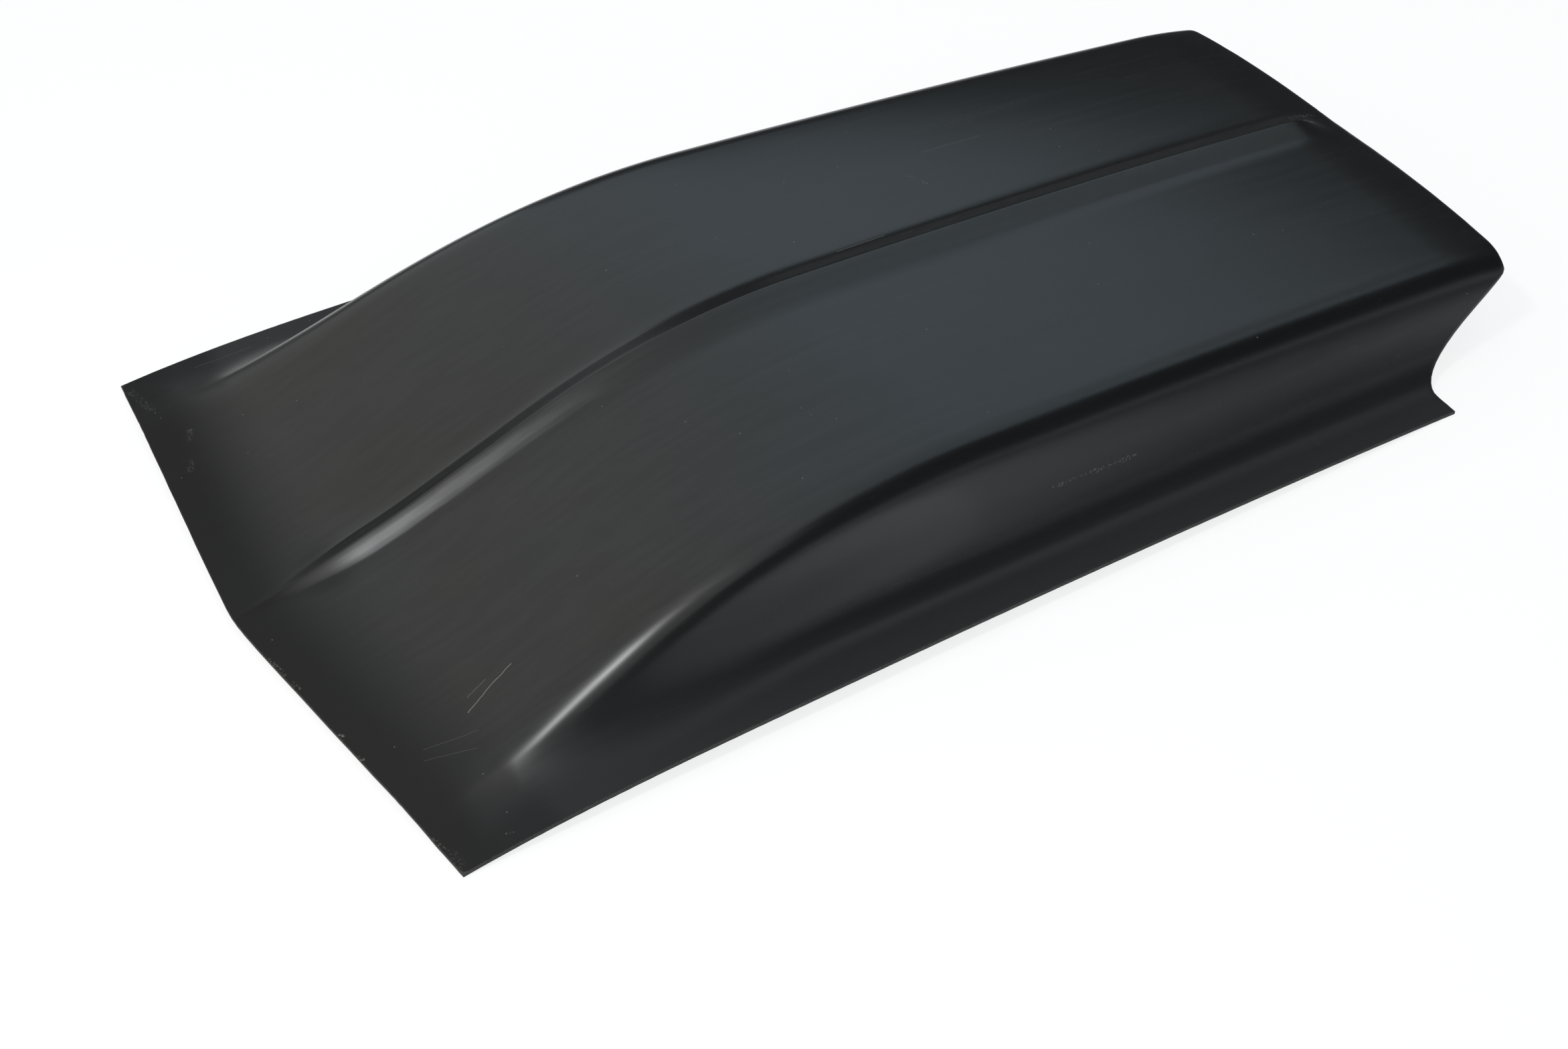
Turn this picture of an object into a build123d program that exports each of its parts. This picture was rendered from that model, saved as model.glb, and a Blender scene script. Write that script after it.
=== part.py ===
from build123d import *
import math
import os

# Rear-opening bonnet scoop, one glass-fibre moulding. Millimetres, +Z up.
# +Y runs to the rear of the car and X across it. Z is zero at the lowest corners of the flange.
# Stations, written d, are distances along the scoop from the tip of its nose.

# Length and laminate
overall_length = 1155.0        # nose tip to rear lip
laminate = 3.0

# Straight lines of the plan, each from the nose tip's station to the lip's
shoulder_front_width = 559.0   # across the shoulder corners
shoulder_rear_width = 479.0
wall_lean_front = 2.0          # each wall's foot stands this far outside its shoulder
wall_lean_rear = 20.5
flange_front_width = 66.0      # foot of the wall to the trimmed edge
flange_rear_width = 50.5

# Towards the toe of the ramp the walls spread out and melt into the flange
toe_shoulder_spread = 6.0      # the shoulder moves this far in
toe_foot_spread = 34.0         # and the foot this far out
toe_spread_start = 115.0       # station up to which they are fully spread
toe_spread_end = 420.0         # station from which they stand on their straight lines

# Trimmed front edge
nose_sweep = 37.3              # the front corners lie this far behind the nose tip
nose_radius = 320.0            # blend of the two front edges at the nose tip
front_corner_radius = 6.0

# The bonnet's own surface, which the underside of the flange follows
bonnet_arch = 14.0             # rise along the length
bonnet_arch_peak = 448.0       # station at which that rise is greatest
bonnet_ridge = 9.0             # rise from the trimmed edge to the centre line

# Ramp and roof, as heights above the lowest corners of the bonnet
ramp_toe_centre = 48.5         # station at which the ramp's line starts, on the centre line
ramp_toe_side = 48.0           # the same along the shoulders
ramp_angle_centre = 20.8       # degrees
ramp_angle_side = 21.8
ramp_toe_blend = 26.0          # depth of the blend in the hollow at the toe
roof_start = 525.0
roof_height = 131.0            # of the roof's edge at roof_start
roof_fall = 43.5               # drop of that edge from roof_start to the lip
roof_fall_curve = 0.33         # share of the drop that grows with the square of the distance
roof_break_centre = 56.0       # depth of the blend from ramp to roof, on the centre line
roof_break_side = 78.0         # the same along the shoulders
roof_crown = 15.0              # the roof's centre above its edges, at the lip
roof_crown_start = 150.0

# Rounding of the section's corners, as shares of the legs that meet there
spine_foot_on_flank = 0.22
spine_foot_on_roof = 0.10
shoulder_on_roof = 0.25
shoulder_on_wall = 0.28
foot_on_wall = 0.52
foot_on_flange = 0.30

# Centre spine
spine_ramp_width = 40.0
spine_roof_width = 51.0
spine_nose_share = 0.3         # share of its ramp width at the nose tip
spine_height = 9.5
spine_growth = 130.0           # length over which it widens and rises from the nose tip
spine_fade = 40.0              # length over which it dies away
spine_fade_end = 15.0          # it has died away this far short of the lip

# Rear lip and the raked rear edges of the walls
lip_roll_centre = 8.0          # drop of the roof into the lip, on the centre line
lip_roll_side = 4.5            # the same along the shoulders
lip_roll_length = 70.0
lip_overhang = 110.5           # the lip stands this far behind the ends of the side flanges
rake_drop = 14.5               # the raked edge meets the lip this far below the shoulder corner
rake_lead = 17.8               # the two slopes of that edge would meet this far behind the flange's end
rake_bend = 19.5               # and this far above the flange
lip_corner_radius = 6.0

# Spacing of the lofted sections, and how far the lofts run past the moulding
section_pitch = 46.0
overrun = 40.0

# Strips that the face along each rounded corner is divided into, so that its facets stay long and few
spine_foot_strips = 3
shoulder_strips = 6
foot_strips = 8

# Places that follow from the sizes above, along Y
nose_y = -overall_length / 2
lip_y = overall_length / 2
flange_length = overall_length - lip_overhang


def mix(a, b, t):
    return a + (b - a) * t


def ease(t):
    t = min(max(t, 0.0), 1.0)
    return t * t * (3 - 2 * t)


def soft_max(a, b, blend):
    overlap = max(blend - abs(a - b), 0.0) / blend
    return max(a, b) + overlap * overlap * blend / 4


def soft_min(a, b, blend):
    return -soft_max(-a, -b, blend)


def along_body(front, rear, d):
    return mix(front, rear, d / overall_length)


def shoulder_half(d):
    return along_body(shoulder_front_width, shoulder_rear_width, d) / 2


def foot_half(d):
    return shoulder_half(d) + along_body(wall_lean_front, wall_lean_rear, d)


def edge_half(d):
    return foot_half(d) + along_body(flange_front_width, flange_rear_width, d)


def toe_melt(d):
    return ease((toe_spread_end - d) / (toe_spread_end - toe_spread_start))


def bonnet(x, d):
    if d < bonnet_arch_peak:
        arch = 1 - ((bonnet_arch_peak - d) / (bonnet_arch_peak - nose_sweep)) ** 4
    else:
        arch = 1 - ((d - bonnet_arch_peak) / (flange_length - bonnet_arch_peak)) ** 2
    return bonnet_arch * arch + bonnet_ridge * (1 - x / edge_half(d))


def ramp_and_roof(x, d):
    share = x / shoulder_half(d)
    slope = math.tan(math.radians(mix(ramp_angle_centre, ramp_angle_side, share)))
    ramp = (d - mix(ramp_toe_centre, ramp_toe_side, share)) * slope
    t = (d - roof_start) / (overall_length - roof_start)
    roof = roof_height - roof_fall * (t * (1 - roof_fall_curve) + roof_fall_curve * t * abs(t))
    into_lip = max(d - overall_length + lip_roll_length, 0.0) / lip_roll_length
    roll = mix(lip_roll_centre, lip_roll_side, share) * into_lip ** 2
    return soft_min(ramp, roof, mix(roof_break_centre, roof_break_side, share)) - roll


def skin(x, d, crown=0.0):
    return soft_max(ramp_and_roof(x, d) + crown, bonnet(x, d), ramp_toe_blend)


def spine(d):
    fade = overall_length - spine_fade_end - d
    return spine_height * ease(d / spine_growth) * ease(fade / spine_fade)


def spine_half(d):
    grown = mix(spine_nose_share, 1.0, ease(d / spine_growth))
    onto_roof = ease((d - spine_growth) / (roof_start - spine_growth))
    return mix(spine_ramp_width, spine_roof_width, onto_roof) * grown / 2


def outer_corners(d):
    """Corners of the right half of the outer section, from the crest to past the trimmed edge."""
    crown = roof_crown * ease((d - roof_crown_start) / (overall_length - roof_crown_start))
    spine_foot = spine_half(d)
    shoulder = shoulder_half(d) - toe_shoulder_spread * toe_melt(d)
    middle = (spine_foot + shoulder) / 2
    foot = foot_half(d) + toe_foot_spread * toe_melt(d)
    edge = edge_half(d) + overrun
    heights = [
        (0.0, skin(0.0, d, crown) + spine(d)),
        (spine_foot, skin(spine_foot, d, crown)),
        (middle, skin(middle, d, crown)),
        (shoulder, skin(shoulder, d)),
        (foot, bonnet(foot, d)),
        (edge, bonnet(edge, d)),
    ]
    return [Vector(x, z + laminate) for x, z in heights]


def inner_corners(d):
    """The same corners, moved in by the laminate square to both legs that meet there."""
    outer = outer_corners(d)
    legs = [(b - a).normalized() for a, b in zip(outer, outer[1:])]
    across = [Vector(-leg.Y, leg.X) for leg in legs]
    before = [Vector(-across[0].X, across[0].Y)] + across
    after = across + [across[-1]]
    return [c - (a + b) * (laminate / (1 + a.dot(b))) for c, a, b in zip(outer, before, after)]


def rounded(start, corner, end, strips):
    """Edges of one parabola, tangent to both legs of a corner, divided into equal shares."""

    def blend(s, t):
        return start * ((1 - s) * (1 - t)) + corner * (s * (1 - t) + t * (1 - s)) + end * (s * t)

    shares = [i / strips for i in range(strips + 1)]
    return [Bezier(blend(s, s), blend(s, t), blend(t, t)) for s, t in zip(shares, shares[1:])]


def half_section(corners, d):
    """Edges of the right half: straight legs, with each corner rounded by a parabola."""
    placed = [Vector(c.X, nose_y + d, c.Y) for c in corners]
    crest, spine_foot, middle, shoulder, foot, edge = placed
    flank = mix(spine_foot, crest, spine_foot_on_flank)
    roof_in = mix(spine_foot, middle, spine_foot_on_roof)
    roof_out = mix(shoulder, middle, shoulder_on_roof)
    wall_high = mix(shoulder, foot, shoulder_on_wall)
    wall_low = mix(foot, shoulder, foot_on_wall)
    flange = mix(foot, edge, foot_on_flange)
    return [
        Line(crest, flank),
        *rounded(flank, spine_foot, roof_in, spine_foot_strips),
        Bezier(roof_in, middle, roof_out),
        *rounded(roof_out, shoulder, wall_high, shoulder_strips),
        Line(wall_high, wall_low),
        *rounded(wall_low, foot, flange, foot_strips),
        Line(flange, edge),
    ]


def section(corners, d, bottom):
    """Closed section: the skin above, straight sides and a floor below it."""
    right = half_section(corners, d)
    left = [edge.mirror(Plane.YZ) for edge in right]
    y = nose_y + d
    reach = corners[-1].X
    side = corners[-1].Y
    floor = Polyline((reach, y, side), (reach, y, bottom), (-reach, y, bottom), (-reach, y, side))
    return make_face(right + left + floor.edges())


def body_under(corners_at, bottom):
    """Solid under a skin, lofted through sections that run past the moulding at both ends."""
    count = math.ceil((overall_length + 2 * overrun) / section_pitch)
    stations = [mix(-overrun, overall_length + overrun, i / count) for i in range(count + 1)]
    return loft([section(corners_at(d), d, bottom) for d in stations])


def plan_trim(top, bottom):
    """Upright block inside the front edges, the corners and the tapered side edges."""
    wide = edge_half(nose_sweep)
    narrow = edge_half(overall_length)
    corner_y = nose_y + nose_sweep
    edge_angle = math.atan2(nose_sweep, wide)
    apex_y = nose_y - nose_radius * (1 / math.cos(edge_angle) - 1)
    outline = Polyline(
        (0, apex_y), (wide, corner_y), (narrow, lip_y), (-narrow, lip_y), (-wide, corner_y), close=True
    )
    plan = make_face(outline)
    apex, *front_corners = plan.vertices().sort_by(Axis.Y)[:3]
    plan = fillet(front_corners, front_corner_radius)
    apex = plan.vertices().sort_by_distance(apex)[0]
    plan = fillet(apex, nose_radius)
    return extrude(Pos(0, 0, bottom) * plan, top - bottom)


def side_trim(top, bottom):
    """Block across the scoop, ending at the flange's ends, the raked wall edges and the lip."""
    flange_end = nose_y + flange_length
    rake_height = ramp_and_roof(shoulder_half(overall_length), overall_length) - rake_drop
    rake_start = (flange_end, laminate)
    rake_pull = (flange_end + rake_lead, laminate + rake_bend)
    rake_end = (lip_y, laminate + rake_height)
    front = nose_y - overrun
    outline = [
        Bezier(rake_start, rake_pull, rake_end),
        Polyline(rake_end, (lip_y, top), (front, top), (front, bottom), (flange_end, bottom), rake_start),
    ]
    profile = make_face(Curve() + outline)
    lip_corner = profile.vertices().sort_by_distance((*rake_end, 0))[0]
    profile = fillet(lip_corner, lip_corner_radius)
    return extrude(Plane.YZ * profile, edge_half(0) + overrun, both=True)


def scoop_shell():
    """The moulding: what lies between its two skins, inside the trimmed edges."""
    top = roof_height + roof_crown + 2 * overrun
    bottom = -overrun
    blank = body_under(outer_corners, bottom - overrun)
    hollow = body_under(inner_corners, bottom - 2 * overrun)
    trimmed = blank & plan_trim(top, bottom) & side_trim(top, bottom)
    return trimmed - hollow


os.makedirs("parts", exist_ok=True)
shell = scoop_shell()
export_step(shell, "parts/scoop_shell.step")
print("scoop_shell", "valid" if shell.is_valid else "not valid", round(shell.volume), "mm3")
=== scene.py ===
# %% [markdown]
# # A rear-opening bonnet scoop
# The object is one glass-fibre moulding: a thin black shell that is bonded to a car's bonnet and draws air
# from the base of the windscreen. This lesson loads its solid as a fixed frame, lays a fine skin over it,
# and then makes the finishes: satin gelcoat outside, raw laminate inside and dark cut edges.

# %% Load the frame
import math

import bpy
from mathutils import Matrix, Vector, noise


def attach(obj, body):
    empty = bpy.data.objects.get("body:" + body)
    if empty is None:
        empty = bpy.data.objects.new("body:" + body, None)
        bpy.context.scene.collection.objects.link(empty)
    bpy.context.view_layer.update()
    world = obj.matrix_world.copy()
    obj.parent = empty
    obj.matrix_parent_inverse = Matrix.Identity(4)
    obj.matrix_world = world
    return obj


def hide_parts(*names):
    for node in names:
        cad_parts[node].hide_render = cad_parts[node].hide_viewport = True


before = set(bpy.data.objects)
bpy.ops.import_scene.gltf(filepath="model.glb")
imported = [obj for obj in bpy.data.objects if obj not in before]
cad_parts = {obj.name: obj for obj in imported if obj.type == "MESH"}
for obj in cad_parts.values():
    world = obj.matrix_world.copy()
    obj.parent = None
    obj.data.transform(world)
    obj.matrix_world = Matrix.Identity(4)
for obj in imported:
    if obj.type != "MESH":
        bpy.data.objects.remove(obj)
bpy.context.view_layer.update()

# %% [markdown]
# ## The camera
# A camera could be aimed by eye. Here its place was worked out from the straight edges of the flange, so it
# is written down: where it stands, how far it is turned round the scoop, and how steeply it looks down.

# %% Camera
camera_place = (1.6549, -1.0613, 1.5553)
camera_azimuth = math.radians(58.49)
camera_elevation = math.radians(40.98)
bpy.ops.object.camera_add(
    location=camera_place,
    rotation=(math.pi / 2 - camera_elevation, 0, camera_azimuth),
)
camera = bpy.context.object
camera.name = "camera"
camera.data.sensor_width = 36
camera.data.lens = 63.57
bpy.context.scene.camera = camera
print("camera stands", round(camera.location.length, 2), "m from the origin")

# %% [markdown]
# ## The drawing
# The skin follows a drawing in millimetres. A station, d, is a distance along the scoop from the tip of its
# nose. At each station the half section is six corners: crest, foot of the spine, middle of the roof,
# shoulder, foot of the wall and edge of the flange. A few named sizes say how those corners run.

# %% Sizes of the drawing
length = 1155.0
laminate = 3.0
shoulder_width = (559.0, 479.0)     # across the shoulders, at the nose tip and at the lip
wall_lean = (2.0, 20.5)             # each wall's foot stands this far outside its shoulder
flange_width = (66.0, 50.5)
toe_spread, toe_spread_start, toe_spread_end = (6.0, 34.0), 115.0, 420.0  # shoulder in, foot out
bonnet_arch, bonnet_arch_peak, bonnet_ridge = 14.0, 448.0, 9.0
nose_sweep, nose_slope, nose_round, nose_back = 37.3, 0.11313, 18.2, 1.86
ramp_toe = (48.5, 48.0)             # on the centre line, and along the shoulders
ramp_angle = (20.8, 21.8)
ramp_toe_blend = 26.0
roof_start, roof_height, roof_fall, roof_fall_curve = 525.0, 131.0, 43.5, 0.33
roof_break = (56.0, 78.0)
roof_crown, roof_crown_start = 15.0, 150.0
spine_width, spine_nose_share = (40.0, 51.0), 0.3      # on the ramp and on the roof
spine_height, spine_growth, spine_fade, spine_fade_end = 9.5, 130.0, 40.0, 15.0
lip_roll, lip_roll_length = (8.0, 4.5), 70.0
lip_overhang, rake_lead, rake_bend, rake_height, lip_corner = 110.5, 17.8, 19.5, 68.5, 5.0
flange_length = length - lip_overhang
edge_overrun = 40.0                 # the flange's last leg is drawn this far past the trimmed edge
print("drawn length", length, "mm, side flange", flange_length, "mm")

# %% Blends between sizes
def mix(a, b, t):
    return a + (b - a) * t


def ease(t):
    t = min(max(t, 0.0), 1.0)
    return t * t * (3 - 2 * t)


def soft_max(a, b, blend):
    overlap = max(blend - abs(a - b), 0.0) / blend
    return max(a, b) + overlap * overlap * blend / 4


def soft_min(a, b, blend):
    return -soft_max(-a, -b, blend)


print("the blend lifts the ramp's toe by up to", soft_max(0, 0, ramp_toe_blend), "mm")

# %% [markdown]
# ## Heights and widths
# The bonnet is a gentle dome, which the flange follows. The ramp is a straight slope and the roof a slow
# fall, and a soft minimum joins them as a moulder's radius would. The larger of that and the bonnet, again
# blended, is the skin: the ramp therefore melts into the flange at its toe.

# %% Heights and widths at a station
def shoulder_half(d):
    return mix(*shoulder_width, d / length) / 2


def foot_half(d):
    return shoulder_half(d) + mix(*wall_lean, d / length)


def edge_half(d):
    return foot_half(d) + mix(*flange_width, d / length)


def bonnet(x, d):
    if d < bonnet_arch_peak:
        arch = 1 - ((bonnet_arch_peak - d) / (bonnet_arch_peak - nose_sweep)) ** 4
    else:
        arch = 1 - ((d - bonnet_arch_peak) / (flange_length - bonnet_arch_peak)) ** 2
    return bonnet_arch * arch + bonnet_ridge * (1 - x / edge_half(d))


def skin(x, d, crown=0.0):
    share = x / shoulder_half(d)
    ramp = (d - mix(*ramp_toe, share)) * math.tan(math.radians(mix(*ramp_angle, share)))
    t = (d - roof_start) / (length - roof_start)
    roof = roof_height - roof_fall * (t * (1 - roof_fall_curve) + roof_fall_curve * t * abs(t))
    into_lip = max(d - length + lip_roll_length, 0.0) / lip_roll_length
    top = soft_min(ramp, roof, mix(*roof_break, share)) - mix(*lip_roll, share) * into_lip**2
    return soft_max(top + crown, bonnet(x, d), ramp_toe_blend)


def spine_half(d):
    grown = mix(spine_nose_share, 1.0, ease(d / spine_growth))
    return mix(*spine_width, ease((d - spine_growth) / (roof_start - spine_growth))) * grown / 2


def spine(d):
    return spine_height * ease(d / spine_growth) * ease((length - spine_fade_end - d) / spine_fade)


print("roof edge at half length", round(skin(shoulder_half(length / 2), length / 2), 1), "mm")

# %% [markdown]
# ## One section
# Each corner of the section is rounded by a parabola that touches both legs, so the section is eight short
# curves, each given by its start, its corner and its end. A place across the skin is then the number of a
# curve and a share along it, and that place can be found at any station.

# %% Section of the skin
# Rounding of the section's corners, as shares of the legs that meet there.
crest_on_flank, spine_foot_on_flank, spine_foot_on_roof = 0.06, 0.22, 0.10
shoulder_on_roof, shoulder_on_wall = 0.25, 0.28
foot_on_wall, foot_on_flange = 0.52, 0.30


def section_curves(d):
    """Eight curves from the crest to the trimmed edge, each as start, corner and end."""
    crown = roof_crown * ease((d - roof_crown_start) / (length - roof_crown_start))
    melt = ease((toe_spread_end - d) / (toe_spread_end - toe_spread_start))
    shoulder_x = shoulder_half(d) - toe_spread[0] * melt
    foot_x = foot_half(d) + toe_spread[1] * melt
    spine_x = spine_half(d)
    edge_x = edge_half(d) + edge_overrun
    middle_x = (spine_x + shoulder_x) / 2
    crest = Vector((0, skin(0, d, crown) + spine(d) + laminate))
    spine_foot = Vector((spine_x, skin(spine_x, d, crown) + laminate))
    middle = Vector((middle_x, skin(middle_x, d, crown) + laminate))
    shoulder = Vector((shoulder_x, skin(shoulder_x, d) + laminate))
    foot = Vector((foot_x, bonnet(foot_x, d) + laminate))
    edge = Vector((edge_x, bonnet(edge_x, d) + laminate))
    cap = mix(crest, spine_foot, crest_on_flank)
    cap_corner = Vector((cap.x / 2, (crest.y + cap.y) / 2))
    cap_top = Vector((0, cap_corner.y))
    flank = mix(spine_foot, crest, spine_foot_on_flank)
    roof_in = mix(spine_foot, middle, spine_foot_on_roof)
    roof_out = mix(shoulder, middle, shoulder_on_roof)
    wall_high = mix(shoulder, foot, shoulder_on_wall)
    wall_low = mix(foot, shoulder, foot_on_wall)
    flange = mix(foot, edge, foot_on_flange)
    trimmed = mix(foot, edge, (edge_half(d) - foot_x) / (edge_x - foot_x))
    return [
        (cap_top, cap_corner, cap),
        (cap, (cap + flank) / 2, flank),
        (flank, spine_foot, roof_in),
        (roof_in, middle, roof_out),
        (roof_out, shoulder, wall_high),
        (wall_high, (wall_high + wall_low) / 2, wall_low),
        (wall_low, foot, flange),
        (flange, (flange + trimmed) / 2, trimmed),
    ]


def skin_point(place, d):
    curve, t = place
    start, corner, end = section_curves(d)[curve]
    return start * (1 - t) ** 2 + corner * (2 * t * (1 - t)) + end * t**2


strips_per_curve = (2, 3, 7, 11, 11, 4, 11, 7)
places = [(0, 0.0)]
for curve, strips in enumerate(strips_per_curve):
    places += [(curve, (i + 1) / strips) for i in range(strips)]
print("places across half the skin:", len(places))

# %% [markdown]
# ## Where the skin starts and ends
# A saw trims the moulding: in front to a shallow V with a rounded tip, behind to the ends of the side
# flanges, the raked edges of the walls and the lip. The rake is known by height, and the height of a place
# changes with its station, so its end is found by halving.

# %% Trimmed ends of the skin
nose_rounds, halvings = 4, 24       # steps that settle each end
rake_search = 10.0                  # the halving starts this far ahead of the flange's end


def front_end(place):
    d = 0.0
    for _ in range(nose_rounds):
        d = nose_slope * math.hypot(skin_point(place, d).x, nose_round) - nose_back
    return d


def rake(z):
    sharpness = rake_height - 2 * rake_bend
    t = (math.sqrt(rake_bend**2 + sharpness * max(z - laminate, 0.0)) - rake_bend) / sharpness
    leaning = flange_length + 2 * t * (1 - t) * rake_lead + t * t * lip_overhang
    return soft_min(leaning, length, lip_corner)


def rear_end(place):
    low, high = flange_length - rake_search, length
    for _ in range(halvings):
        d = (low + high) / 2
        if d < rake(skin_point(place, d).y):
            low = d
        else:
            high = d
    return low


ends = [(front_end(place), rear_end(place)) for place in places]
for name, (start, end) in {"crest": ends[0], "flange edge": ends[-1]}.items():
    print(name, "runs from", round(start, 1), "to", round(end, 1), "mm")

# %% [markdown]
# ## The dull margin
# The border that is bonded and filled on a car has less shine than the rest, and so have the toes of the
# shoulders and of the spine. A mask for it could be painted by hand. Here it is worked out from how far a
# place lies from the side and from the front edge, so it follows the edges whatever their size.

# %% How dull a place is
# Distances in millimetres: how far a band is full, and over what width it then fades.
side_full, side_fade = 10.0, (95.0, 65.0)
side_change = (150.0, 350.0)        # where that fade starts to narrow, and over what length
front_band = (20.0, 90.0)
shoulder_toe, shoulder_toe_side, shoulder_toe_front = 0.8, (58.0, 40.0), (74.0, 26.0)
spine_toe, spine_toe_side, spine_toe_front = 0.6, (20.0, 20.0), (80.0, 35.0)


def wane(distance, full, width):
    return 1 - ease((distance - full) / width)


def dull_by_side(side_gap, d):
    narrowed = ease((d - side_change[0]) / side_change[1])
    return wane(side_gap, side_full, mix(*side_fade, narrowed))


def dull_by_front(x, side_gap, front_gap):
    at_shoulder = shoulder_toe * wane(side_gap, *shoulder_toe_side) * wane(front_gap, *shoulder_toe_front)
    at_spine = spine_toe * wane(x, *spine_toe_side) * wane(front_gap, *spine_toe_front)
    return max(wane(front_gap, *front_band), at_shoulder, at_spine)


print("halfway along, 40 mm in from the side, the margin is", round(dull_by_side(40, length / 2), 2))

# %% [markdown]
# ## The shell
# A shell like this could be cut from the solid's own mesh, but that mesh is triangles of every size, which
# show in a satin finish. A grid has one column for each place across the skin and one row for each step
# along it, so its lines run with the spine, the shoulders and the edges. It starts as a flat primitive, and
# each of its points is then carried to its place on the drawing. The saw left the edges a little ragged.

# %% Grid laid on the drawing
rows = 208
half_columns = len(places) - 1
mm = 0.001                          # in metres
front_rows = 0.2                    # share of the rows that follow the front edge
rear_start, rear_rows = 0.7, 0.3    # and the share that follows the rear edge
end_row = 0.001                     # only the first and the last row lie this close to an end
saw_depth = 0.25                    # how far the saw strays, in millimetres
saw_wave, saw_tooth, tooth_share = 0.11, 0.37, 0.6   # slow and quick turns to a millimetre


def station(column, v):
    front, rear = ends[column]
    from_front = front * (1 - ease(v / front_rows))
    to_rear = (length - rear) * ease((v - rear_start) / rear_rows)
    return v * length + from_front - to_rear


def ragged(point):
    return saw_depth * (noise.noise(point * saw_wave) + tooth_share * noise.noise(point * saw_tooth))


bpy.ops.object.select_all(action="DESELECT")
bpy.ops.mesh.primitive_grid_add(x_subdivisions=2 * half_columns, y_subdivisions=rows, size=2)
shell = bpy.context.object
shell.name = "gelcoat_shell"
measured = {"edge_distance": [], "side_margin": [], "front_margin": []}
for vertex in shell.data.vertices:
    u = round(vertex.co.x * half_columns)
    v = (vertex.co.y + 1) / 2
    column = abs(u)
    d = station(column, v)
    point = skin_point(places[column], d)
    side_gap = edge_half(d) - point.x
    front_gap = d - ends[column][0]
    rear_gap = ends[column][1] - d
    measured["edge_distance"].append(min(side_gap, front_gap, rear_gap) * mm)
    measured["side_margin"].append(dull_by_side(side_gap, d))
    measured["front_margin"].append(dull_by_front(point.x, side_gap, front_gap))
    spot = Vector((math.copysign(point.x, u), d, 0))
    if column == half_columns:
        spot.x += math.copysign(ragged(spot), u)
    if v < end_row or v > 1 - end_row:
        spot.y += ragged(spot.yxz)
    vertex.co = (spot.x * mm, (spot.y - length / 2) * mm, point.y * mm)
for name, values in measured.items():
    shell.data.attributes.new(name, "FLOAT", "POINT").data.foreach_set("value", values)
print("skin has", len(shell.data.polygons), "faces")

# %% [markdown]
# ## Thickness
# Solidify gives the skin its 3 mm of laminate on the inside, and puts its inner faces and its rim into
# material slots of their own. A small bevel then takes the sharpness off the sawn edges.

# %% Laminate thickness and broken edges
broken_edge = 0.4                   # width of the bevel in millimetres
finishes = {name: bpy.data.materials.new(name) for name in ("black_gelcoat", "raw_laminate", "cut_edge")}
for finish in finishes.values():
    shell.data.materials.append(finish)
solidify = shell.modifiers.new("laminate", "SOLIDIFY")
solidify.thickness = laminate * mm
solidify.offset = -1
solidify.use_even_offset = True
solidify.material_offset = 1
solidify.material_offset_rim = 2
bpy.ops.object.modifier_apply(modifier=solidify.name)
bevel = shell.modifiers.new("broken_edge", "BEVEL")
bevel.width = broken_edge * mm
bevel.segments = 2
bevel.limit_method = "ANGLE"
bevel.angle_limit = math.radians(60)
bpy.ops.object.modifier_apply(modifier=bevel.name)
bpy.ops.object.shade_smooth_by_angle(angle=math.radians(50))
print("shell has", sum(len(p.vertices) - 2 for p in shell.data.polygons), "triangles")

# %% Shell in the frame
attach(shell, "root")
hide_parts("scoop_shell")
print("shell stands for the solid scoop_shell")

# %% [markdown]
# ## Shader nodes
# The finishes are node trees that read the shell's own coordinates, so their detail stays on the surface
# from every side. Each tree could be wired by hand. A few small helpers keep the trees readable instead:
# they add a node and fill its sockets, fade a value between two limits, put values together, blend two
# colours, and stretch a noise.

# %% Helpers for nodes and numbers
def add_node(tree, kind, sockets, **options):
    """Add a node, set its options, and link or set each of its sockets."""
    made = tree.nodes.new("ShaderNode" + kind)
    for option, value in options.items():
        setattr(made, option, value)
    for socket, value in sockets.items():
        if isinstance(value, bpy.types.NodeSocket):
            tree.links.new(value, made.inputs[socket])
        else:
            made.inputs[socket].default_value = value
    return made


def fade(tree, value, start, end, low=0.0, high=1.0):
    sockets = {"Value": value, "From Min": start, "From Max": end, "To Min": low, "To Max": high}
    return add_node(tree, "MapRange", sockets, interpolation_type="SMOOTHSTEP").outputs["Result"]


def combine(tree, operation, first, *others):
    """Put values together in their order, by one operation such as ADD or MAXIMUM."""
    for other in others:
        first = add_node(tree, "Math", {0: first, 1: other}, operation=operation).outputs[0]
    return first


def combine_vectors(tree, operation, a, b, result="Vector"):
    return add_node(tree, "VectorMath", {0: a, 1: b}, operation=operation).outputs[result]


def part_of(tree, vector, axis):
    return add_node(tree, "SeparateXYZ", {"Vector": vector}).outputs[axis]


print("made helpers for nodes and numbers")

# %% Helpers for colours and finishes
def tint(tree, share, colour, over):
    return add_node(tree, "MixRGB", {"Fac": share, "Color1": colour, "Color2": over}).outputs["Color"]


def stretched_noise(tree, place, scale, detail):
    """Noise whose grains are as long along each axis as the scale is small."""
    mapped = add_node(tree, "Mapping", {"Vector": place, "Scale": scale}).outputs["Vector"]
    return add_node(tree, "TexNoise", {"Vector": mapped, "Scale": 1.0, "Detail": detail}).outputs["Fac"]


def relief(tree, height, strength, depth):
    bump = add_node(tree, "Bump", {"Height": height, "Strength": strength, "Distance": depth})
    return bump.outputs["Normal"]


def start_tree(owner):
    """The node tree of a material or a world, and its own coordinates."""
    owner.use_nodes = True
    tree = owner.node_tree
    return tree, add_node(tree, "TexCoord", {}).outputs["Object"]


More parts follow.
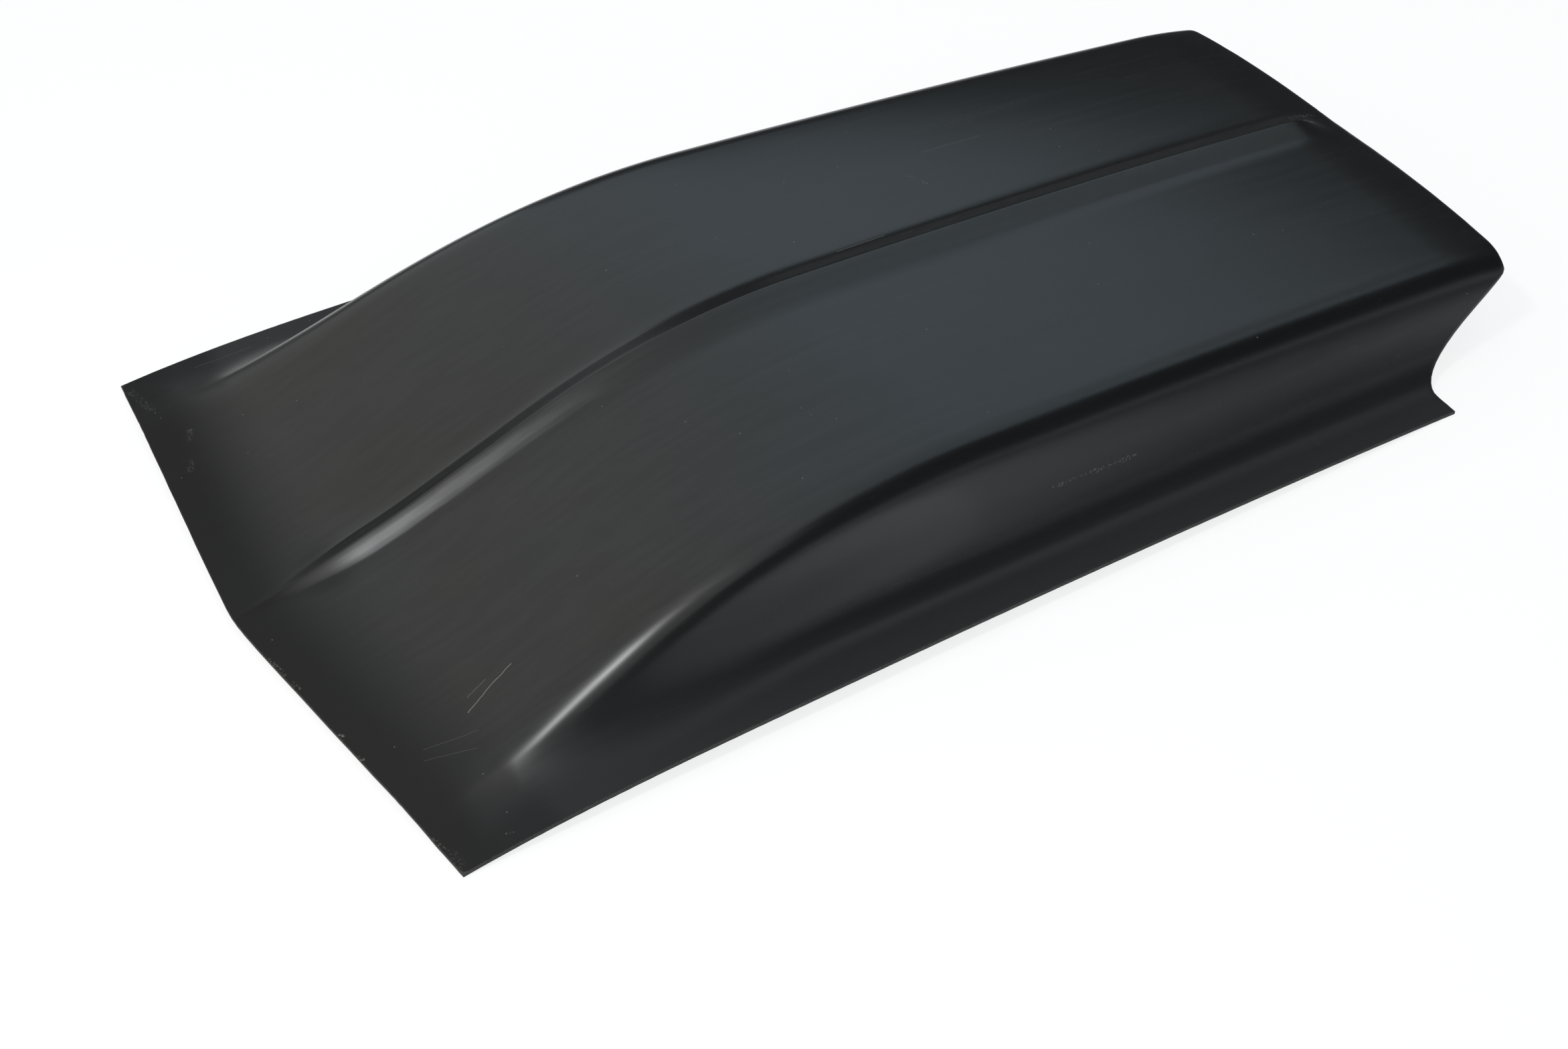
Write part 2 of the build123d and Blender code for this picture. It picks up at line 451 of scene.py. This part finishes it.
def dress(tree, sockets):
    """Link values to the sockets of the tree's own shader."""
    for socket, value in sockets.items():
        tree.links.new(value, tree.nodes["Principled BSDF"].inputs[socket])


print("made helpers for the finishes", list(finishes))

# %% [markdown]
# ## Marks of use
# The moulding has been handled: a long scratch on the ramp, chips along its front edge, scuffs on the roof
# and the wall, a rubbed end of the spine. Such marks could be painted into a picture, but a picture is tied
# to one size. Here each mark is a short line on the plan, and the nodes measure how far a point lies from
# that line.

# %% Where the marks lie
# From x, y to x, y in millimetres on the plan, then half the width, then how pale the mark is.
scratches = [
    (219.1, -468.7, 209.2, -443.7, 0.5, 0.4),
    (209.2, -443.7, 203.7, -422.1, 0.5, 0.4),
    (205.6, -462.9, 200.8, -444.1, 0.4, 0.2),
    (226.0, -512.0, 240.0, -470.0, 0.3, 0.12),
    (236.0, -516.0, 254.0, -478.0, 0.3, 0.12),
    (-326.0, -474.0, -323.0, -421.0, 0.5, 0.1),
    (-126.2, 182.6, -125.8, 246.6, 0.4, 0.12),
    (-24.0, 24.0, -25.0, 74.0, 0.5, 0.2),
]
scuffs = [
    (52.0, -573.0, 82.0, -567.5, 4.0, 0.22),
    (96.0, -565.5, 104.0, -563.5, 3.0, 0.18),
    (168.0, -557.5, 173.0, -556.5, 3.0, 0.35),
    (199.0, -555.5, 203.0, -554.0, 3.0, 0.35),
    (304.0, -543.0, 322.0, -539.0, 2.5, 0.15),
    (326.0, -537.0, 342.0, -539.0, 7.0, 0.06),
    (331.5, -494.0, 333.5, -490.0, 1.5, 0.35),
    (-333.0, -535.0, -291.0, -530.0, 5.0, 0.09),
    (-238.0, -515.0, -228.0, -519.0, 4.0, 0.1),
    (-200.0, -530.0, -190.0, -534.0, 4.0, 0.1),
    (-99.0, 148.0, -79.0, 155.5, 3.0, 0.1),
    (266.4, 55.0, 264.4, 144.0, 0.6, 0.2),
    (-9.0, 528.0, -15.0, 541.0, 5.0, 0.1),
    (-15.0, 541.0, -18.0, 562.0, 4.0, 0.12),
]
mark_core = 0.3                     # a mark is at its palest within this share of its half width


def mark_share(tree, plan, marks):
    """How much of a mark lies at a point of the plan, from 0 to 1."""
    total = 0.0
    for x0, y0, x1, y1, half_width, pale in marks:
        start = Vector((x0, y0, 0)) * mm
        run = Vector((x1 - x0, y1 - y0, 0)) * mm
        offset = combine_vectors(tree, "SUBTRACT", plan, start)
        along = combine_vectors(tree, "DOT_PRODUCT", offset, run / run.length_squared, "Value")
        held = add_node(tree, "Clamp", {"Value": along}).outputs["Result"]
        foot = add_node(tree, "VectorMath", {0: run, "Scale": held}, operation="SCALE").outputs["Vector"]
        gap = combine_vectors(tree, "DISTANCE", offset, foot, "Value")
        share = fade(tree, gap, half_width * mm, mark_core * half_width * mm, 0.0, pale)
        total = combine(tree, "MAXIMUM", share, total)
    return total


print("marks drawn:", len(scratches), "scratches and", len(scuffs), "scuffs")

# %% [markdown]
# ## Black gelcoat
# The outside is gelcoat, the pigmented resin that is sprayed into the mould first, so it is smooth and has a
# satin shine. Rubbing has streaked it lengthwise, and dust and small nicks speckle it. One shader does all
# of this. Its patterns come first, each a noise that is stretched as the real mark runs: grit is the same
# every way, and streaks and hairlines are long and thin.

# %% Patterns of the gelcoat
# Grains to a metre across, along and up the scoop, then how finely the grains are broken.
grains = {
    "streaks": ((170, 4, 60), 4.0),
    "clouds": ((9, 4, 9), 3.0),
    "waves": ((16, 5, 16), 2.0),
    "grit": ((900, 900, 900), 1.0),
    "crumbs": ((420, 420, 420), 4.0),
    "hairs": ((1100, 14, 200), 1.0),
}
tree, place = start_tree(finishes["black_gelcoat"])
pattern = {name: stretched_noise(tree, place, *grain) for name, grain in grains.items()}
gauge = {
    name: add_node(tree, "Attribute", {}, attribute_name=name).outputs["Fac"]
    for name in ("edge_distance", "side_margin", "front_margin")
}
margin = combine(tree, "MAXIMUM", gauge["side_margin"], gauge["front_margin"])
print("gelcoat has the patterns", list(pattern))

# %% [markdown]
# ## Wear of the gelcoat
# Wear bares a paler resin. The marks waver a little, because no real scratch is straight, and the scuffs are
# broken into crumbs. Specks are the middles of a few cells of a Voronoi texture, hairlines are the peaks of a
# very long noise, and nicks run along the sawn edge. The palest of them all wins at each point.

# %% Wear of the gelcoat
waver_grain, waver = 160.0, 0.0016  # grains to a metre, and the metres that a mark strays at most
crumb_limits = (0.48, 0.66)
speck_grain, speck_choice = 70.0, (0.72, 0.8)   # cells to a metre, and the few of them that hold a speck
speck_rim, speck_pale = (0.055, 0.02), 0.35     # from its rim to its middle, in shares of a cell
hair_limits, hair_pale = (0.7, 0.78), 0.012
nick_reach, nick_rim, nick_pale = 0.0022, (0.0, -0.0009), 0.1   # metres in from the sawn edge

wander = add_node(tree, "TexNoise", {"Vector": place, "Scale": waver_grain}).outputs["Color"]
wobble = combine_vectors(tree, "MULTIPLY", wander, (waver, waver, 0))
plan = combine_vectors(tree, "MULTIPLY", combine_vectors(tree, "ADD", place, wobble), (1, 1, 0))
broken = fade(tree, pattern["crumbs"], *crumb_limits)
scratched = mark_share(tree, plan, scratches)
scuffed = combine(tree, "MULTIPLY", mark_share(tree, plan, scuffs), broken)
cells = add_node(tree, "TexVoronoi", {"Vector": place, "Scale": speck_grain})
dot = fade(tree, cells.outputs["Distance"], *speck_rim, 0.0, speck_pale)
specks = combine(tree, "MULTIPLY", dot, fade(tree, cells.outputs["Color"], *speck_choice))
hairlines = fade(tree, pattern["hairs"], *hair_limits, 0.0, hair_pale)
reach = combine(tree, "MULTIPLY", pattern["grit"], nick_reach)
nicks = fade(tree, combine(tree, "SUBTRACT", gauge["edge_distance"], reach), *nick_rim, 0.0, nick_pale)
pale = combine(tree, "MAXIMUM", scratched, scuffed, specks, hairlines, nicks)
print("wear brings the gelcoat to", len(tree.nodes), "nodes")

# %% [markdown]
# ## Colour and shine of the gelcoat
# The resin is near black and a little cloudy, greyer along the dull margin, and paler where it is worn. A
# painted shade also makes the front margin darker at its far end and lighter at its near end. Its shine could
# be one number, but on the real one it varies more than the colour: the streaks are a little rougher, the
# margin and the wear much rougher, and the margin mirrors less. Shallow waves in the surface, left by the
# mould, make long reflections tremble.

# %% Colour of the gelcoat
deep_black, cloudy_black = (0.0042, 0.0044, 0.0046, 1), (0.0066, 0.0066, 0.0066, 1)
side_grey = (0.0185, 0.0187, 0.0195, 1)
# Painted shade: the front margin's grey is darker at its far end and lighter at its near end.
far_front_shaded_grey, near_front_lit_grey = (0.0050, 0.0049, 0.0049, 1), (0.0108, 0.0107, 0.0109, 1)
front_shade_change = (-0.3, 0.3)          # metres across, from the far end of the front edge to the near end
bared_resin = (0.33, 0.32, 0.29, 1)

black = tint(tree, pattern["clouds"], deep_black, cloudy_black)
dull_side = tint(tree, gauge["side_margin"], black, side_grey)
# Painted shade across the front margin, from its darker far end to its lighter near end, over its real dull
# grey.
across = fade(tree, part_of(tree, place, "X"), *front_shade_change)
dull_front_with_painted_shade = tint(tree, across, far_front_shaded_grey, near_front_lit_grey)
dull_with_painted_shade = tint(tree, gauge["front_margin"], dull_side, dull_front_with_painted_shade)
dress(tree, {"Base Color": tint(tree, pale, dull_with_painted_shade, bared_resin)})
print("gelcoat is coloured, with", len(tree.nodes), "nodes")

# %% Shine of the gelcoat
rub_limits, rub_roughness = (0.3, 0.7), (0.245, 0.275)
margin_roughness, pale_roughness = 0.26, 0.4
brush_limits = (0.35, 0.65)
warm_gloss = (0.92, 0.88, 0.83, 1), (1.02, 0.98, 0.93, 1)   # between the streaks, and on them
cool_gloss = (0.93, 0.99, 1.04, 1), (1.03, 1.09, 1.14, 1)
margin_gloss = (0.21, 0.195, 0.19, 1)
wave_strength, wave_depth = 0.5, 0.0006

rubbed = fade(tree, pattern["streaks"], *rub_limits, *rub_roughness)
dulled = combine(tree, "MULTIPLY", margin, margin, margin_roughness)
roughness = combine(tree, "ADD", rubbed, dulled, combine(tree, "MULTIPLY", pale, pale_roughness))
brushed = fade(tree, pattern["streaks"], *brush_limits)
warm, cool = (tint(tree, brushed, *gloss) for gloss in (warm_gloss, cool_gloss))
gloss = tint(tree, margin, tint(tree, pattern["clouds"], warm, cool), margin_gloss)
waviness = relief(tree, pattern["waves"], wave_strength, wave_depth)
dress(tree, {"Roughness": roughness, "Specular Tint": gloss, "Normal": waviness})
print("black gelcoat has", len(tree.nodes), "nodes")

# %% [markdown]
# ## Raw laminate and cut edge
# Underneath, the chopped strands of the glass mat show through the resin. Strands could be modelled one by
# one, but thousands lie in the skin; three stretched noises, each turned another way, give the same tangle.
# The saw left the edge of the laminate dark and fibrous, with a little grey glass between the layers.

# %% Raw laminate
strand_turns = (0.3, 1.35, 2.4)
strand_grain, strand_limits, strand_share = ((520, 26, 60), 2.0), (0.52, 0.66), 0.55
pool_grain, pool_limits, pool_roughness = ((22, 22, 22), 3.0), (0.3, 0.7), (0.42, 0.62)
dark_resin, amber_resin = (0.016, 0.015, 0.013, 1), (0.034, 0.031, 0.025, 1)
glass_strand = (0.115, 0.105, 0.085, 1)
strand_strength, strand_depth = 0.7, 0.0004

tree, place = start_tree(finishes["raw_laminate"])
strands = 0.0
for turn in strand_turns:
    turned = add_node(tree, "Mapping", {"Vector": place, "Rotation": (0, 0, turn)}).outputs["Vector"]
    strand = fade(tree, stretched_noise(tree, turned, *strand_grain), *strand_limits)
    strands = combine(tree, "MAXIMUM", strand, strands)
pools = stretched_noise(tree, place, *pool_grain)
resin = tint(tree, pools, dark_resin, amber_resin)
dress(tree, {
    "Base Color": tint(tree, combine(tree, "MULTIPLY", strands, strand_share), resin, glass_strand),
    "Roughness": fade(tree, pools, *pool_limits, *pool_roughness),
    "Normal": relief(tree, strands, strand_strength, strand_depth),
})
print("raw laminate has", len(tree.nodes), "nodes")

# %% Cut edge
layer_grain, fibre_grain = ((90, 90, 1400), 2.0), ((420, 420, 420), 3.0)
cut_limits, fibre_limits, fibre_roughness = (0.35, 0.6), (0.3, 0.7), (0.6, 0.85)
edge_resin, edge_glass = (0.011, 0.011, 0.011, 1), (0.045, 0.043, 0.038, 1)
fibre_strength, fibre_depth = 0.6, 0.0003

tree, place = start_tree(finishes["cut_edge"])
layers = stretched_noise(tree, place, *layer_grain)
fibres = stretched_noise(tree, place, *fibre_grain)
cut = combine(tree, "MULTIPLY", fade(tree, layers, *cut_limits), fade(tree, fibres, *cut_limits))
dress(tree, {
    "Base Color": tint(tree, cut, edge_resin, edge_glass),
    "Roughness": fade(tree, fibres, *fibre_limits, *fibre_roughness),
    "Normal": relief(tree, fibres, fibre_strength, fibre_depth),
})
print("cut edge has", len(tree.nodes), "nodes")

# %% [markdown]
# ## Floor
# A sheet of white paper carries the scoop. Most of it glows by itself for the camera, at a strength of one,
# so the background is white without more light on the object, and the rest of it is lit plainly and keeps
# the soft shadow. It glows in reflections too, less and less towards the rear, where the scoop mirrors a
# darker room.

# %% Floor
floor_size, floor_drop = 60, 0.0003
paper_white, paper_roughness = (0.92, 0.92, 0.92, 1), 0.95
camera_glow = 0.8                   # share of the sheet that glows for the camera
mirror_change, mirror_glow = (-0.1, 0.6), (0.75, 0.0)   # metres along the car, and the share in reflections

bpy.ops.mesh.primitive_plane_add(size=floor_size, location=(0, 0, -floor_drop))
floor = bpy.context.object
floor.name = "floor"
paper = bpy.data.materials.new("floor_paper")
tree, place = start_tree(paper)
lit = tree.nodes["Principled BSDF"]
lit.inputs["Base Color"].default_value = paper_white
lit.inputs["Roughness"].default_value = paper_roughness
ray = add_node(tree, "LightPath", {}).outputs
mirrored = combine(tree, "MAXIMUM", ray["Is Glossy Ray"], ray["Is Transmission Ray"])
rearward = fade(tree, part_of(tree, place, "Y"), *mirror_change, *mirror_glow)
mirrored = combine(tree, "MULTIPLY", mirrored, rearward)
share = combine(tree, "MAXIMUM", combine(tree, "MULTIPLY", ray["Is Camera Ray"], camera_glow), mirrored)
glow = add_node(tree, "Emission", {"Strength": 1.0}).outputs["Emission"]
sheet = add_node(tree, "MixShader", {"Fac": share, 1: lit.outputs["BSDF"], 2: glow}).outputs["Shader"]
tree.links.new(sheet, tree.nodes["Material Output"].inputs["Surface"])
floor.data.materials.append(paper)
print("floor is", tuple(floor.dimensions), "m")

# %% [markdown]
# ## Studio light
# A satin black surface is drawn by what it mirrors. The studio is an even white space, with grey and dark
# cloths, called flags: they hang beside, behind and above the scoop and lie on the floor, and they put the
# dark bands on the shoulders, the foot of the wall and the lip. Only reflections see them, so they throw no
# shadow. One small lamp overhead gives the bright lines on the spine and the toe of the shoulder.

# %% Cloths
def dye_cloth(name, low, high, start, end):
    """A cloth whose grey fades from low to high between two shares of its own length."""
    cloth = bpy.data.materials.new(name)
    tree, place = start_tree(cloth)
    along = fade(tree, part_of(tree, place, "Y"), start, end)
    dress(tree, {"Base Color": tint(tree, along, (low, low, low, 1), (high, high, high, 1))})
    return cloth


# From one grey to another, and between which shares of the cloth's length.
dyes = {
    "dark_cloth": (0.033, 0.033, 0, 1),
    "near_cloth": (0.65, 0.03, -0.5, -0.2),
    "grey_cloth": (0.7, 0.7, 0, 1),
    "floor_cloth": (0.95, 0.22, -0.5, 0.04),
    "toe_cloth": (0.2, 1.0, -0.1, 0.5),
}
cloths = {name: dye_cloth(name, *dye) for name, dye in dyes.items()}
print("cloths dyed:", list(cloths))

# %% Flags
upright, near_turn = math.pi / 2, 0.2
# Centre in metres, turn in radians, size in metres, and cloth.
flags = {
    "flag_near": ((2.0, 1.2, 1.2), (upright, 0, upright + near_turn), (5.0, 2.4), "near_cloth"),
    "flag_near_floor": ((1.18, 0.6, 0.001), (0, 0, 0), (1.64, 1.8), "floor_cloth"),
    "flag_near_toe": ((1.08, -0.375, 0.002), (0, 0, 0), (1.44, 0.85), "toe_cloth"),
    "flag_overhead": ((1.85, 2.1, 2.6), (0, 0, 0), (2.0, 3.8), "dark_cloth"),
    "flag_spine_end": ((-0.35, 2.9, 2.6), (0, 0, 0), (0.8, 1.6), "grey_cloth"),
    "flag_rear": ((-1.5, 3.2, 1.225), (upright, 0, 0), (7.5, 2.45), "dark_cloth"),
    "flag_far": ((-4.2, 2.7, 1.1), (upright, 0, upright), (3.8, 2.2), "dark_cloth"),
    "flag_far_toe": ((-1.7, -0.4, 0.2), (upright, 0, upright), (2.2, 0.4), "dark_cloth"),
    "flag_behind": ((-1.5, 1.75, 0.001), (0, 0, 0), (2.4, 2.0), "dark_cloth"),
}
for name, (centre, turn, size, cloth) in flags.items():
    bpy.ops.mesh.primitive_plane_add(size=1, location=centre, rotation=turn)
    flag = bpy.context.object
    flag.name = name
    flag.scale = (*size, 1)
    flag.visible_camera = False
    flag.visible_shadow = False
    flag.visible_diffuse = False
    flag.data.materials.append(cloths[cloth])
print("flags hung:", list(flags))

# %% Lamp
lamp_place = Vector((0.45, -1.08, 2.1))
aim = (Vector((0, 0, 0)) - lamp_place).to_track_quat("-Z", "Y").to_euler()
bpy.ops.object.light_add(type="AREA", location=lamp_place, rotation=aim)
lamp = bpy.context.object
lamp.name = "overhead_lamp"
lamp.data.shape = "RECTANGLE"
lamp.data.size = 0.3
lamp.data.size_y = 0.15
lamp.data.energy = 19
print("lamp gives", lamp.data.energy, "W")

# %% White space
white_level = 0.88
front_white, rear_white = (1.0, 0.985, 0.955, 1), (0.80, 0.98, 1.09, 1)
white_change = (-0.25, 0.55)        # from the nose's end of the studio to the rear end

world = bpy.data.worlds.new("white_space")
bpy.context.scene.world = world
tree, place = start_tree(world)
background = tree.nodes["Background"]
towards = fade(tree, part_of(tree, place, "Y"), *white_change)
tree.links.new(tint(tree, towards, front_white, rear_white), background.inputs["Color"])
background.inputs["Strength"].default_value = white_level
bpy.context.scene.view_settings.view_transform = "Standard"
print("white space of strength", white_level)
